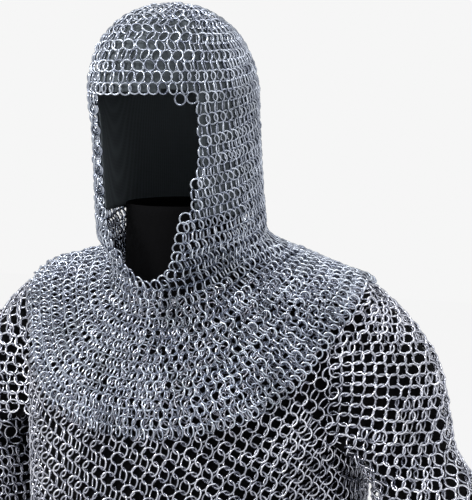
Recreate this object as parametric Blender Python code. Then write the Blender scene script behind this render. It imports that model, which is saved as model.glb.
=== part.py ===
"""Haubergeon with coif: a mail shirt and a mail hood over an arming tunic and cap.

Each panel of the ring net is a thin closed shell on a smooth surface. The wearer faces -Y,
the wearer's left is +X and the origin lies between the shoulders. All lengths are metres.
"""
import math
import bmesh
import bpy
from mathutils import Matrix, Vector

MM = 0.001

# Body of the haubergeon, measured from the point between the shoulders
SHOULDER_RISE = 80 * MM      # top of the shoulders beside the neck
ARMPIT_DROP = 90 * MM
HEM_DROP = 700 * MM          # hem of the skirt, at mid-thigh
CHEST_HALF = 171 * MM
CHEST_FRONT = 140 * MM
CHEST_BACK = 122 * MM
SKIRT_FOLD = 9 * MM          # height of the hanging folds at the hem
SKIRT_FOLD_COUNT = 11
FRONT_CRESTS = 3             # the side seams lie in the troughs of folds: odd counts
BACK_CRESTS = 7

# Sleeves
ARM_GAP = 8 * MM             # from the side of the chest to the armhole
ARMHOLE_X = CHEST_HALF + ARM_GAP
SLEEVE_INSET = 3 * MM        # from the armhole to the inside of the sleeve
SLEEVE_LENGTH = 225 * MM     # from the armpit to the cuff
SLEEVE_WIDE = 40 * MM        # half width at the armpit
SLEEVE_DEEP_SHARE = 0.457    # half depth there, of CHEST_FRONT
SLEEVE_DEEP = CHEST_FRONT * SLEEVE_DEEP_SHARE
CUFF_WIDE = 60 * MM
CUFF_DEEP = 64 * MM
SLEEVE_X = ARMHOLE_X + SLEEVE_INSET + SLEEVE_WIDE
SHOULDER_HALF = SLEEVE_X + SLEEVE_WIDE
LEFT_SPREAD = 62 * MM        # how far the cuff stands out from the armpit
RIGHT_SPREAD = 24 * MM
RIGHT_SETBACK = 18 * MM      # the right arm hangs a little further back
SHOULDER_PIVOT_Z = 56 * MM

# Coif
CROWN_RISE = 315 * MM        # outside of the crown of the hood
HOOD_HALF = 81 * MM
HOOD_DEEP = 101 * MM
HOOD_SHIFT_X = -8 * MM       # the neck stands a little to the wearer's right, and forward
HOOD_SHIFT_Y = -26 * MM
HOOD_LEAN = 12 * MM          # how far the head leans to the right, from the level plane to the crown
NECK_Z = 100 * MM            # the level plane where the hood turns on the neck
BROW_DROP = 93 * MM          # from the crown down to the edge of the mail over the forehead
BROW_Z = CROWN_RISE - BROW_DROP
FACE_HALF_TURN = math.radians(43)

# Layers
MAIL_THICK = 5 * MM
CLOTH_THICK = 4 * MM
TUNIC_IN = 8.0 * MM           # from the mail's outer face in to the tunic's
BODY_TUNIC_IN = 7.0 * MM
SLEEVE_TUNIC_IN = 6.0 * MM
CAP_IN = 6.8 * MM
MANTLE_OUT = 7.2 * MM        # the mantle lies on top of the haubergeon
SEAM_GAP = 0.8 * MM          # running gap between two neighbouring panels
BODY_GAP = 0.8 * MM          # between pieces that move apart

SHARP_ANGLE = math.radians(50)

# Collar of the tunic
COLLAR_HALF = 61 * MM
COLLAR_DEEP = 62 * MM
COLLAR_SHIFT_X = -3 * MM
COLLAR_SHIFT_Y = -14 * MM
COLLAR_BELOW = 6 * MM        # how far its top stays below the level plane

STEEL = (0.42, 0.43, 0.45)
STEEL_COIF = (0.45, 0.46, 0.47)
BLACK_CLOTH = (0.012, 0.012, 0.014)
GREY_CLOTH = (0.20, 0.21, 0.22)

# Ten lines from the front centre round the left arm to the back centre, each from the neck edge
# down to the armpit line. The places are shares: across of CHEST_HALF, or of SHOULDER_HALF on
# the lines of the arm; deep of CHEST_FRONT or CHEST_BACK; up of SHOULDER_RISE or ARMPIT_DROP.
YOKE_SHARES = (
    ((0.0, -0.47, 0.50), (0.0, -0.66, 0.08), (0.0, -0.84, -0.30), (0.0, -0.97, -0.66), (0.0, -1.0, -1.0)),
    ((0.22, -0.38, 0.60), (0.30, -0.57, 0.28), (0.39, -0.73, -0.16), (0.45, -0.90, -0.59),
     (0.46, -0.93, -1.0)),
    ((0.36, -0.24, 0.72), (0.51, -0.37, 0.50), (0.66, -0.51, 0.06), (0.78, -0.64, -0.43),
     (0.81, -0.69, -1.0)),
    ((0.43, -0.10, 0.79), (0.66, -0.17, 0.64), (0.89, -0.30, 0.33), (0.98, -0.42, -0.28),
     (0.94, -0.45, -1.0)),
    ((0.29, 0.02, 0.84), (0.48, -0.02, 0.70), (0.69, -0.14, 0.42), (0.82, -0.32, -0.25),
     (0.84, -0.45, -1.0)),
    ((0.30, 0.13, 0.87), (0.49, 0.11, 0.73), (0.72, 0.09, 0.46), (0.93, 0.03, -0.21), (1.0, 0.01, -1.0)),
    ((0.29, 0.25, 0.90), (0.47, 0.32, 0.70), (0.68, 0.39, 0.40), (0.82, 0.48, -0.25), (0.85, 0.53, -1.0)),
    ((0.37, 0.39, 0.93), (0.63, 0.49, 0.68), (0.89, 0.57, 0.30), (0.98, 0.57, -0.28), (0.94, 0.48, -1.0)),
    ((0.22, 0.48, 0.95), (0.43, 0.67, 0.68), (0.63, 0.80, 0.22), (0.73, 0.85, -0.41), (0.75, 0.76, -1.0)),
    ((0.0, 0.53, 0.97), (0.0, 0.76, 0.72), (0.0, 0.92, 0.22), (0.0, 1.0, -0.41), (0.0, 1.0, -1.0)),
)
ARM_LINES = (4, 5, 6)
# On the same ten lines: where the coif lands on the haubergeon, and where the mantle ends,
# in shares of the way from the neck edge to the armpit line.
LAND_SHARES = (0.30, 0.26, 0.17, 0.12, 0.10, 0.10, 0.10, 0.10, 0.10, 0.10)
MANTLE_END_SHARES = (0.98, 0.90, 0.77, 0.62, 0.47, 0.42, 0.43, 0.52, 0.66, 0.80)
YOKE_END_SHARE = 0.988        # the yoke stops just above the armpit line, so does the sleeve cap
CAP_END_SHARE = 0.993
NECK_SHARE = 0.40            # part of the coif's lower lines that is neck
NOTCH_SHARE = 0.20           # where the face opening ends on them
NOTCH_CURVE_SHARE = 0.6      # below 1 the notch is rounded, at 1 it is a straight V
CHIN_SHARE = 0.77            # half turn of the face opening at the level plane, of that at the cheeks
CHEEK_SHARE = 0.4            # height at which it is full, of the way to the crown
ROUND_SHARE = 0.84           # at 1 the body is an oval in section, below 1 it is squarer
LAND_STEP_SHARE = 0.03       # step down the yoke that gives the direction in which the neck lands
SLOPE_SHARE = 0.004          # step to either side that gives the slope of a surface

# Seams between panels, in shares of a turn where they run down, else of the line that they cross
YOKE_SEAM_SHARE = 0.005
NECK_ROW_SHARE = 0.05        # the end row round the neck of the shirt
NECK_SEAM_SHARE = 0.010
MANTLE_ROW_SHARES = (0.94, 0.946)
YOKE_FRONT_SHARE = 0.12      # the front panel ends at this part of a turn from the front
YOKE_BACK_SHARE = 0.41
CAP_START_SHARE = 0.15
CAP_TOP_SHARE = 0.30
CHEST_END_SHARE = 0.44       # where the skirt starts, of the way from armpit to hem
HEM_SHARE = 0.974
CUFF_SHARE = 0.959
MANTLE_FRONT_SHARE = 0.13
MANTLE_BACK_SHARE = 0.37
HOOD_BACK_SHARE = 0.30
RIM_SHARE = 0.018            # width of the end row along the face opening, of a turn
BAND_SHARE = 0.17            # height of the brow band
CAP_BAND_SHARE = 0.02        # the cap's own seam, above the brow
CAP_FOOT_SHARE = 0.06
CAP_TIP_SHARE = 0.99
TUNIC_BODY_SHARES = (0.006, 0.96)
TUNIC_SLEEVE_SHARES = (0.02, 0.93)

# Shares of the body's half width, front, back and of the way from armpit to hem
BODY_SHARES = ((0.00, 1.00, 1.00, 1.00), (0.22, 0.985, 1.01, 0.96), (0.46, 0.96, 0.98, 0.92),
               (0.66, 1.02, 0.98, 0.98), (0.84, 1.10, 1.02, 1.04), (1.00, 1.16, 1.05, 1.08))
# Shares of the hood's half width, half depth and of the way from the level plane to the crown,
# then how far the centre of the section moves back, in shares of the half depth
HOOD_SHARES = ((0.00, 0.95, 0.98, 0.02), (0.07, 0.95, 0.978, 0.02), (0.24, 0.95, 0.945, 0.01),
               (0.45, 0.95, 0.94, 0.01),
               (0.64, 0.955, 0.965, 0.00), (0.80, 0.84, 0.87, 0.02), (0.91, 0.62, 0.66, 0.03),
               (0.975, 0.34, 0.36, 0.04), (1.00, 0.04, 0.04, 0.04))


def clear_scene():
    for obj in list(bpy.data.objects):
        bpy.data.objects.remove(obj, do_unlink=True)


def new_collection(name):
    collection = bpy.data.collections.new(name)
    bpy.context.scene.collection.children.link(collection)
    return collection


def new_material(name, color, roughness, metallic):
    material = bpy.data.materials.new(name)
    material.use_nodes = True
    shader = material.node_tree.nodes["Principled BSDF"]
    shader.inputs["Base Color"].default_value = (*color, 1)
    shader.inputs["Roughness"].default_value = roughness
    shader.inputs["Metallic"].default_value = metallic
    return material


def curve_through(points, position):
    """A smooth curve through equally spaced points; position runs from 0 to len(points) - 1."""
    last = len(points) - 1
    start = min(max(int(math.floor(position)), 0), last - 1)
    way = position - start
    before = points[start - 1] if start > 0 else points[0] * 2 - points[1]
    after = points[start + 2] if start + 2 <= last else points[last] * 2 - points[last - 1]
    first, second = points[start], points[start + 1]
    return 0.5 * (2 * first + (second - before) * way
                  + (2 * before - 5 * first + 4 * second - after) * way ** 2
                  + (3 * first - before - 3 * second + after) * way ** 3)


def loop_through(points, position):
    """The same curve on a closed loop of points."""
    count = len(points)
    start = int(math.floor(position))
    way = position - start
    before, first, second, after = (points[(start + step) % count] for step in (-1, 0, 1, 2))
    return 0.5 * (2 * first + (second - before) * way
                  + (2 * before - 5 * first + 4 * second - after) * way ** 2
                  + (3 * first - before - 3 * second + after) * way ** 3)


def draped_surface(shares):
    """Surface through both sides of a table of lines; around runs from 0 to 1 from the front."""
    lines = []
    for number, line in enumerate(shares):
        wide = SHOULDER_HALF if number in ARM_LINES else CHEST_HALF
        points = []
        for across, deep, up in line:
            y = deep * (CHEST_FRONT if deep < 0 else CHEST_BACK)
            z = up * (SHOULDER_RISE if up > 0 else ARMPIT_DROP)
            points.append(Vector((across * wide, y, z)))
        lines.append(points)
    for line in reversed(lines[1:-1]):
        lines.append([Vector((-point.x, point.y, point.z)) for point in line])
    steps = len(shares[0]) - 1

    def surface(around, down):
        ring = [curve_through(line, down * steps) for line in lines]
        return loop_through(ring, around * len(lines))
    return surface


def share_at(table, column, way):
    """Reads one column of a table whose first column is the way along, smoothly."""
    rows = [Vector((row[0], row[column], 0)) for row in table]
    last = len(rows) - 1
    low, high = 0.0, float(last)
    for _ in range(30):
        middle = (low + high) / 2
        if curve_through(rows, middle).x < way:
            low = middle
        else:
            high = middle
    return curve_through(rows, (low + high) / 2).y


def body_surface(around, down, fold_high=SKIRT_FOLD, sink=0.0):
    """The body below the armpits, with folds that grow towards the hem; sink moves it inwards."""
    turn = 2 * math.pi * around
    side = math.sin(turn)
    front = math.cos(turn)
    half = CHEST_HALF * share_at(BODY_SHARES, 1, down)
    if front > 0:
        deep = CHEST_FRONT * share_at(BODY_SHARES, 2, down)
    else:
        deep = CHEST_BACK * share_at(BODY_SHARES, 3, down)
    x = half * math.copysign(abs(side) ** ROUND_SHARE, side)
    y = -deep * math.copysign(abs(front) ** ROUND_SHARE, front)
    fold = fold_high * down ** 2 * math.cos(SKIRT_FOLD_COUNT * turn) - sink
    out = Vector((x, y, 0)).normalized()
    z = -ARMPIT_DROP - (HEM_DROP - ARMPIT_DROP) * down
    return Vector((x, y, z)) + out * fold


def hood_surface(around, up):
    """The hood above the level plane, from the neck (0) to the crown (1)."""
    turn = 2 * math.pi * around
    half = HOOD_HALF * share_at(HOOD_SHARES, 1, up)
    deep = HOOD_DEEP * share_at(HOOD_SHARES, 2, up)
    back = HOOD_DEEP * share_at(HOOD_SHARES, 3, up)
    x = HOOD_SHIFT_X - HOOD_LEAN * up + half * math.sin(turn)
    y = HOOD_SHIFT_Y + back - deep * math.cos(turn)
    return Vector((x, y, NECK_Z + (CROWN_RISE - NECK_Z) * up))


def sleeve_surface(side, spread, setback):
    """A hanging sleeve, from the armpit (0) to the cuff (1); side is 1 for left, -1 for right."""
    def surface(around, down):
        turn = 2 * math.pi * around
        wide = SLEEVE_WIDE + (CUFF_WIDE - SLEEVE_WIDE) * math.sin(down * math.pi / 2)
        deep = SLEEVE_DEEP + (CUFF_DEEP - SLEEVE_DEEP) * down
        x = SLEEVE_X + spread * down + wide * math.sin(turn)
        y = setback * math.sin(down * math.pi / 2) - deep * math.cos(turn)
        z = -ARMPIT_DROP - SLEEVE_LENGTH * down
        return Vector((side * x, y, z))
    return surface


yoke_surface = draped_surface(YOKE_SHARES)


def line_share(shares, around):
    """Reads a table with one share for each of the ten lines, on either side."""
    both = list(shares) + list(reversed(shares[1:-1]))
    values = [Vector((share, 0, 0)) for share in both]
    return loop_through(values, (around % 1) * len(values)).x


def mantle_surface(around, down):
    """The coif below its level plane: a neck that lands on the shoulders and spreads over them."""
    land = line_share(LAND_SHARES, around)
    stop = line_share(MANTLE_END_SHARES, around)
    resting = offset_surface(yoke_surface, -MANTLE_OUT)
    if down >= NECK_SHARE:
        way = (down - NECK_SHARE) / (1 - NECK_SHARE)
        return resting(around, land + (stop - land) * way)
    top = hood_surface(around, 0)
    foot = resting(around, land)
    reach = (foot - top).length
    fall = Vector((0, 0, -1)) * reach
    landing = yoke_surface(around, land)
    spread = (yoke_surface(around, land + LAND_STEP_SHARE) - landing).normalized() * reach
    way = down / NECK_SHARE
    return (top * (2 * way ** 3 - 3 * way ** 2 + 1) + fall * (way ** 3 - 2 * way ** 2 + way)
            + foot * (3 * way ** 2 - 2 * way ** 3) + spread * (way ** 3 - way ** 2))


def outward(surface, around, along, rising):
    """Unit normal of a surface, away from the wearer; rising where its second share runs upwards."""
    low, high = max(along - SLOPE_SHARE, 0), min(along + SLOPE_SHARE, 1)
    across = surface(around + SLOPE_SHARE, along) - surface(around - SLOPE_SHARE, along)
    down = surface(around, high) - surface(around, low)
    normal = down.cross(across)
    if rising:
        normal = -normal
    return normal.normalized()


def offset_surface(surface, distance, rising=False):
    """The same surface moved inwards by a distance."""
    def moved(around, along):
        return surface(around, along) - outward(surface, around, along, rising) * distance
    return moved


def shell(name, surface, rows, looped, thick, material, collection, rising=False, capped=False):
    """A closed shell between a surface and the same surface moved in by its thickness.

    rows holds the places (around, along) of the grid. A loft between the two skins keeps the
    edges of neighbouring panels parallel, so that one narrow seam runs all the way through.
    """
    outer, inner = [], []
    for row in rows:
        for around, along in row:
            point = surface(around, along)
            outer.append(point)
            inner.append(point - outward(surface, around, along, rising) * thick)
    across = len(rows[0])
    skin = len(outer)
    steps = across if looped else across - 1
    faces = []
    for row in range(len(rows) - 1):
        for column in range(steps):
            after = (column + 1) % across
            low, high = row * across, (row + 1) * across
            quad = (low + column, low + after, high + after, high + column)
            faces.append(quad)
            faces.append(tuple(skin + corner for corner in reversed(quad)))
    last = (len(rows) - 1) * across
    for column in range(steps):
        after = (column + 1) % across
        faces.append((column, column + skin, after + skin, after))
        if not capped:
            faces.append((last + column, last + after, last + after + skin, last + column + skin))
    if capped:
        faces.append(tuple(range(last, last + across)))
        faces.append(tuple(reversed(range(last + skin, last + skin + across))))
    if not looped:
        for row in range(len(rows) - 1):
            for column in (0, across - 1):
                low, high = row * across + column, (row + 1) * across + column
                faces.append((low, high, high + skin, low + skin))
    mesh = bpy.data.meshes.new(name)
    mesh.from_pydata(outer + inner, [], faces)
    obj = bpy.data.objects.new(name, mesh)
    obj.data.materials.append(material)
    collection.objects.link(obj)
    working = bmesh.new()
    working.from_mesh(mesh)
    bmesh.ops.recalc_face_normals(working, faces=working.faces)
    working.to_mesh(mesh)
    working.free()
    mesh.shade_smooth()
    mesh.set_sharp_from_angle(angle=SHARP_ANGLE)
    return obj


def panel(name, surface, edges, ends, counts, thick, material, collection, rising=False):
    """A shell between two side edges, given as functions of the way along, and two ends."""
    across, along = counts
    rows = []
    for row in range(along + 1):
        way = ends[0] + (ends[1] - ends[0]) * row / along
        start, stop = edges[0](way), edges[1](way)
        rows.append([(start + (stop - start) * column / across, way) for column in range(across + 1)])
    return shell(name, surface, rows, False, thick, material, collection, rising)


def tube(name, surface, ends, counts, thick, material, collection, rising=False, capped=False):
    """A shell all the way round, closed at its far end where it is capped."""
    across, along = counts
    rows = []
    for row in range(along + 1):
        way = ends[0] + (ends[1] - ends[0]) * row / along
        rows.append([(column / across, way) for column in range(across)])
    return shell(name, surface, rows, True, thick, material, collection, rising, capped)


def fixed(value):
    return lambda way: value


def box_cutter(name, low, high, collection):
    bpy.ops.mesh.primitive_cube_add(size=1)
    box = bpy.context.object
    box.name = name
    for holder in list(box.users_collection):
        holder.objects.unlink(box)
    collection.objects.link(box)
    size = Vector(high) - Vector(low)
    centre = (Vector(high) + Vector(low)) / 2
    for vertex in box.data.vertices:
        vertex.co = Vector((vertex.co.x * size.x, vertex.co.y * size.y, vertex.co.z * size.z)) + centre
    box.hide_render = True
    box.display_type = "WIRE"
    return box


def cut(obj, cutter, operation):
    step = obj.modifiers.new(cutter.name, "BOOLEAN")
    step.operation = operation
    step.object = cutter
    step.solver = "EXACT"
    step.use_self = True
    return obj


def pivot(name, place, collection, parent=None):
    """An empty on the axis of a joint."""
    empty = bpy.data.objects.new(name, None)
    empty.location = place
    collection.objects.link(empty)
    if parent:
        empty.parent = parent
        empty.matrix_parent_inverse = Matrix.Translation(parent.location).inverted()
    return empty


def hang(empty, objects):
    """Parents pieces to an empty and leaves them where they are."""
    for obj in objects:
        obj.parent = empty
        obj.matrix_parent_inverse = Matrix.Translation(empty.location).inverted()


def turn_share(gap, reach):
    """A gap as a share of a turn, at some distance from the axis."""
    return gap / (2 * math.pi * reach)


def face_edge(up):
    """Half the width of the face opening, in shares of a turn, from the level plane to the brow."""
    rise = math.sin(min(up / CHEEK_SHARE, 1) * math.pi / 2)
    return FACE_HALF_TURN / (2 * math.pi) * (CHIN_SHARE + (1 - CHIN_SHARE) * rise)


def notch_edge(down):
    """Half the width of the notch under the chin, down to its bottom."""
    left = max(1 - down / NOTCH_SHARE, 0)
    return face_edge(0) * left ** NOTCH_CURVE_SHARE


def make_yoke(steel, parts, cutters):
    """The part of the shirt on the shoulders, from the neck row to the armpit line."""
    far = SHOULDER_HALF * 2
    deep = CHEST_FRONT * 2
    edge = ARMHOLE_X - BODY_GAP / 2
    left_arm = box_cutter("armhole_left", (edge, -deep, -deep), (far, deep, deep), cutters)
    right_arm = box_cutter("armhole_right", (-far, -deep, -deep), (-edge, deep, deep), cutters)
    tube("neck_edge_row", yoke_surface, (0.0, NECK_ROW_SHARE), (28, 1), MAIL_THICK, steel, parts)
    seam = turn_share(SEAM_GAP, CHEST_HALF)
    ends = (NECK_ROW_SHARE + YOKE_SEAM_SHARE, YOKE_END_SHARE)
    front, back = YOKE_FRONT_SHARE, YOKE_BACK_SHARE
    for name, start, stop, counts in (("yoke_front", -front, front, (10, 6)),
                                      ("shoulder_left", front, back, (12, 6)),
                                      ("yoke_back", back, 1 - back, (8, 6)),
                                      ("shoulder_right", 1 - back, 1 - front, (12, 6))):
        obj = panel(name, yoke_surface, (fixed(start + seam), fixed(stop - seam)), ends, counts,
                    MAIL_THICK, steel, parts)
        if name == "shoulder_left":
            cut(obj, left_arm, "DIFFERENCE")
        if name == "shoulder_right":
            cut(obj, right_arm, "DIFFERENCE")


def make_body(steel, parts):
    """Chest, flanks and skirt with their side seams in the troughs of the folds, and the hem row."""
    seam = turn_share(SEAM_GAP, CHEST_HALF) / 2
    level = SEAM_GAP / (HEM_DROP - ARMPIT_DROP)
    crest = 0.5 / SKIRT_FOLD_COUNT
    first, second = crest * FRONT_CRESTS, crest * BACK_CRESTS
    tiers = (("chest_front", "flank_left", "chest_back", "flank_right", 0.0, CHEST_END_SHARE, 3),
             ("skirt_front", "skirt_left", "skirt_back", "skirt_right",
              CHEST_END_SHARE + level, HEM_SHARE - level, 5))
    for front, left, back, right, high, low, along in tiers:
        for name, start, stop, across in ((front, -first, first, 16), (left, first, second, 6),
                                          (back, second, 1 - second, 16), (right, 1 - second, 1 - first, 6)):
            panel(name, body_surface, (fixed(start + seam), fixed(stop - seam)), (high, low),
                  (across, along), MAIL_THICK, steel, parts)
    tube("hem_row", body_surface, (HEM_SHARE, 1.0), (44, 1), MAIL_THICK, steel, parts)


def make_sleeve(name, side, spread, setback, steel, cloth, parts, cutters):
    """One half sleeve that swings at the shoulder: cap, tube, cuff row and the tunic's sleeve."""
    far = SHOULDER_HALF * 2
    deep = CHEST_FRONT * 2
    edge = ARMHOLE_X + BODY_GAP / 2
    keep = box_cutter("sleeve_side_" + name, (min(side * edge, side * far), -deep, -deep),
                      (max(side * edge, side * far), deep, SHOULDER_PIVOT_Z), cutters)
    start, stop = CAP_START_SHARE, YOKE_BACK_SHARE
    if side < 0:
        start, stop = 1 - stop, 1 - start
    top = panel("sleeve_cap_" + name, yoke_surface, (fixed(start), fixed(stop)),
                (CAP_TOP_SHARE, CAP_END_SHARE), (14, 7), MAIL_THICK, steel, parts)
    cut(top, keep, "INTERSECT")
    surface = sleeve_surface(side, spread, setback)
    seam = SEAM_GAP / SLEEVE_LENGTH
    pieces = [top,
              tube("sleeve_" + name, surface, (0.0, CUFF_SHARE - seam), (22, 4), MAIL_THICK, steel, parts),
              tube("cuff_row_" + name, surface, (CUFF_SHARE, 1.0), (22, 1), MAIL_THICK, steel, parts),
              tube("tunic_sleeve_" + name, offset_surface(surface, SLEEVE_TUNIC_IN, side < 0),
                   TUNIC_SLEEVE_SHARES, (18, 3), CLOTH_THICK, cloth, parts)]
    hang(pivot("shoulder_pivot_" + name, (side * ARMHOLE_X, 0, SHOULDER_PIVOT_Z), parts), pieces)


def make_tunic(cloth, parts, cutters):
    """The thin arming tunic under the mail: yoke, body and standing collar."""
    under_yoke = offset_surface(yoke_surface, TUNIC_IN)

    def under_body(around, down):
        return body_surface(around, down, 0.0, BODY_TUNIC_IN + SKIRT_FOLD * down ** 2)

    def collar_surface(around, up):
        foot = under_yoke(around, 0.0) + Vector((0, 0, SEAM_GAP))
        turn = 2 * math.pi * around
        head = Vector((COLLAR_SHIFT_X + COLLAR_HALF * math.sin(turn),
                       COLLAR_SHIFT_Y - COLLAR_DEEP * math.cos(turn), NECK_Z - COLLAR_BELOW))
        return foot.lerp(head, up)
    sheet = tube("tunic_yoke", under_yoke, (0.0, YOKE_END_SHARE), (42, 6), CLOTH_THICK, cloth, parts)
    far = SHOULDER_HALF * 2
    deep = CHEST_FRONT * 2
    for name, side in (("left", 1), ("right", -1)):
        edge = side * (ARMHOLE_X - BODY_GAP / 2)
        arm = box_cutter("tunic_arm_" + name, (min(edge, side * far), -deep, -deep),
                         (max(edge, side * far), deep, deep), cutters)
        cut(sheet, arm, "DIFFERENCE")
    tube("tunic_body", under_body, TUNIC_BODY_SHARES, (33, 5), CLOTH_THICK, cloth, parts)
    tube("tunic_collar", collar_surface, (0.0, 1.0), (24, 2), CLOTH_THICK, cloth, parts, True)


def make_mantle(steel, parts):
    """The neck of the coif and the mantle that lies on the shoulders."""
    seam = turn_share(SEAM_GAP, HOOD_DEEP)
    wide_seam = turn_share(SEAM_GAP, HOOD_HALF) * 2
    quarter = 0.25
    ends = (0.0, NOTCH_SHARE - NECK_SEAM_SHARE)
    pieces = [
        panel("neck_left", mantle_surface, (lambda way: notch_edge(way) + seam, fixed(quarter - wide_seam)),
              ends, (8, 3), MAIL_THICK, steel, parts),
        panel("neck_right", mantle_surface,
              (fixed(1 - quarter + wide_seam), lambda way: 1 - notch_edge(way) - seam),
              ends, (8, 3), MAIL_THICK, steel, parts),
        panel("neck_back", mantle_surface, (fixed(quarter + wide_seam), fixed(1 - quarter - wide_seam)),
              ends, (14, 3), MAIL_THICK, steel, parts),
        tube("neck_base", mantle_surface, (NOTCH_SHARE, NECK_SHARE - NECK_SEAM_SHARE), (36, 2),
             MAIL_THICK, steel, parts)]
    front, back = MANTLE_FRONT_SHARE, MANTLE_BACK_SHARE
    for name, start, stop, counts in (("mantle_front", -front, front, (14, 6)),
                                      ("mantle_left", front, back, (10, 5)),
                                      ("mantle_back", back, 1 - back, (12, 5)),
                                      ("mantle_right", 1 - back, 1 - front, (10, 5))):
        pieces.append(panel(name, mantle_surface, (fixed(start + seam), fixed(stop - seam)),
                            (NECK_SHARE, MANTLE_ROW_SHARES[0]), counts, MAIL_THICK, steel, parts))
    pieces.append(tube("mantle_edge_row", mantle_surface, (MANTLE_ROW_SHARES[1], 1.0), (48, 1),
                       MAIL_THICK, steel, parts))
    lift = pivot("coif_lift", (0, 0, SHOULDER_RISE), parts)
    hang(lift, pieces)
    return lift


def make_hood(lift, steel, cloth, parts):
    """The hood that turns on the neck, and the padded cap under it."""
    brow = (BROW_Z - NECK_Z) / (CROWN_RISE - NECK_Z)
    band = brow + BAND_SHARE
    seam = turn_share(SEAM_GAP, HOOD_DEEP)
    level = SEAM_GAP / (CROWN_RISE - NECK_Z)
    gap = BODY_GAP / (CROWN_RISE - NECK_Z)
    back = HOOD_BACK_SHARE
    sides = (("left", (lambda way: face_edge(way) + RIM_SHARE + seam, fixed(back - seam)),
              (face_edge, lambda way: face_edge(way) + RIM_SHARE)),
             ("right", (fixed(1 - back + seam), lambda way: 1 - face_edge(way) - RIM_SHARE - seam),
              (lambda way: 1 - face_edge(way) - RIM_SHARE, lambda way: 1 - face_edge(way))))
    pieces = []
    for name, edges, rim_edges in sides:
        pieces.append(panel("hood_side_" + name, hood_surface, edges, (gap, brow - level), (6, 8),
                            MAIL_THICK, steel, parts, True))
        pieces.append(panel("face_edge_" + name, hood_surface, rim_edges, (gap, brow - level), (1, 8),
                            MAIL_THICK, steel, parts, True))
    pieces.append(panel("hood_brow", hood_surface, (fixed(-back + seam), fixed(back - seam)),
                        (brow, band - level), (20, 2), MAIL_THICK, steel, parts, True))
    pieces.append(panel("hood_back", hood_surface, (fixed(back + seam), fixed(1 - back - seam)),
                        (gap, band - level), (12, 7), MAIL_THICK, steel, parts, True))
    pieces.append(tube("hood_crown", hood_surface, (band, 1.0), (26, 8), MAIL_THICK, steel, parts,
                       True, True))

    under_hood = offset_surface(hood_surface, CAP_IN, True)
    cap_edge = brow + CAP_BAND_SHARE
    pieces.append(tube("cap_crown", under_hood, (cap_edge, CAP_TIP_SHARE), (26, 8), CLOTH_THICK, cloth,
                       parts, True, True))
    pieces.append(panel("cap_sides", under_hood,
                        (lambda way: face_edge(way) + RIM_SHARE, lambda way: 1 - face_edge(way) - RIM_SHARE),
                        (CAP_FOOT_SHARE, cap_edge - level), (24, 4), CLOTH_THICK, cloth, parts, True))
    hang(pivot("head_turn", (HOOD_SHIFT_X, HOOD_SHIFT_Y, NECK_Z), parts, lift), pieces)


def main():
    clear_scene()
    parts = new_collection("haubergeon_with_coif")
    cutters = new_collection("cutters")
    steel = new_material("galvanised_steel_rings", STEEL, 0.38, 1.0)
    coif_steel = new_material("galvanised_coif_rings", STEEL_COIF, 0.40, 1.0)
    black = new_material("black_cloth", BLACK_CLOTH, 0.9, 0.0)
    grey = new_material("grey_cloth", GREY_CLOTH, 0.9, 0.0)
    make_yoke(steel, parts, cutters)
    make_body(steel, parts)
    make_sleeve("left", 1, LEFT_SPREAD, 0.0, steel, black, parts, cutters)
    make_sleeve("right", -1, RIGHT_SPREAD, RIGHT_SETBACK, steel, black, parts, cutters)
    make_tunic(black, parts, cutters)
    lift = make_mantle(coif_steel, parts)
    make_hood(lift, coif_steel, grey, parts)


main()
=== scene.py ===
# %% [markdown]
# A ring mail shirt (haubergeon) and a ring mail hood (coif), built ring by ring.
#
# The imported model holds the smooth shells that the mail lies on. This script loads them as a
# fixed frame and lays about twelve thousand small steel rings over the same surfaces. Under
# the rings lie a thin black tunic and a grey cap, so that every gap shows cloth.

# %% Load the frame
import math
import random

import bpy
import numpy as np
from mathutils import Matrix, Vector


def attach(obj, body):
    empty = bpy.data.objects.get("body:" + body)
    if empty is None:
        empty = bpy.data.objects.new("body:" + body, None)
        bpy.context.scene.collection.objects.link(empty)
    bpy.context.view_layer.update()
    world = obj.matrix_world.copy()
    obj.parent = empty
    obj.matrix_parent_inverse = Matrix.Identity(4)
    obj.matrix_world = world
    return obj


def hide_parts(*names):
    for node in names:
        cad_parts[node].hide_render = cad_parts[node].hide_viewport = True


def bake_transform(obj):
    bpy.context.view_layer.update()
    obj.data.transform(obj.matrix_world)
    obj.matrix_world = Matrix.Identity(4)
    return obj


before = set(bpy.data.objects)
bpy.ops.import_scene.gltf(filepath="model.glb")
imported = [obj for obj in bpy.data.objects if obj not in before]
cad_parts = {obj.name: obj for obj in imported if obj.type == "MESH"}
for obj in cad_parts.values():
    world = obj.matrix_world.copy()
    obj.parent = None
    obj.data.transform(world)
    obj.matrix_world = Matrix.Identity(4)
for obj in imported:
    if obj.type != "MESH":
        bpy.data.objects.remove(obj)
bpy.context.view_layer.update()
MM = 0.001

# %% [markdown]
# Colours are easiest to pick as the hex values that a colour picker shows. Blender's shaders
# work with linear light, so one function turns the one into the other.

# %% Colours and a helper for shader nodes


def linear(hex_color):
    """An sRGB hex colour, such as "8a8d92", as a linear RGBA tuple."""
    values = [int(hex_color[start:start + 2], 16) / 255 for start in (0, 2, 4)]
    return (*(value / 12.92 if value <= 0.04045 else ((value + 0.055) / 1.055) ** 2.4
              for value in values), 1.0)


def link(owner, node, links):
    """Feeds sockets of a node, by name or number, from outputs of other nodes."""
    for name, output in links.items():
        owner.node_tree.links.new(output, node.inputs[name])


def add_node(owner, kind, settings=None, links=None):
    """Adds one node. settings are its own values or its sockets'; links feed its sockets."""
    node = owner.node_tree.nodes.new(kind)
    for name, value in (settings or {}).items():
        if isinstance(name, int) or name in node.inputs:
            node.inputs[name].default_value = value
        else:
            setattr(node, name, value)
    link(owner, node, links or {})
    return node


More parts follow.
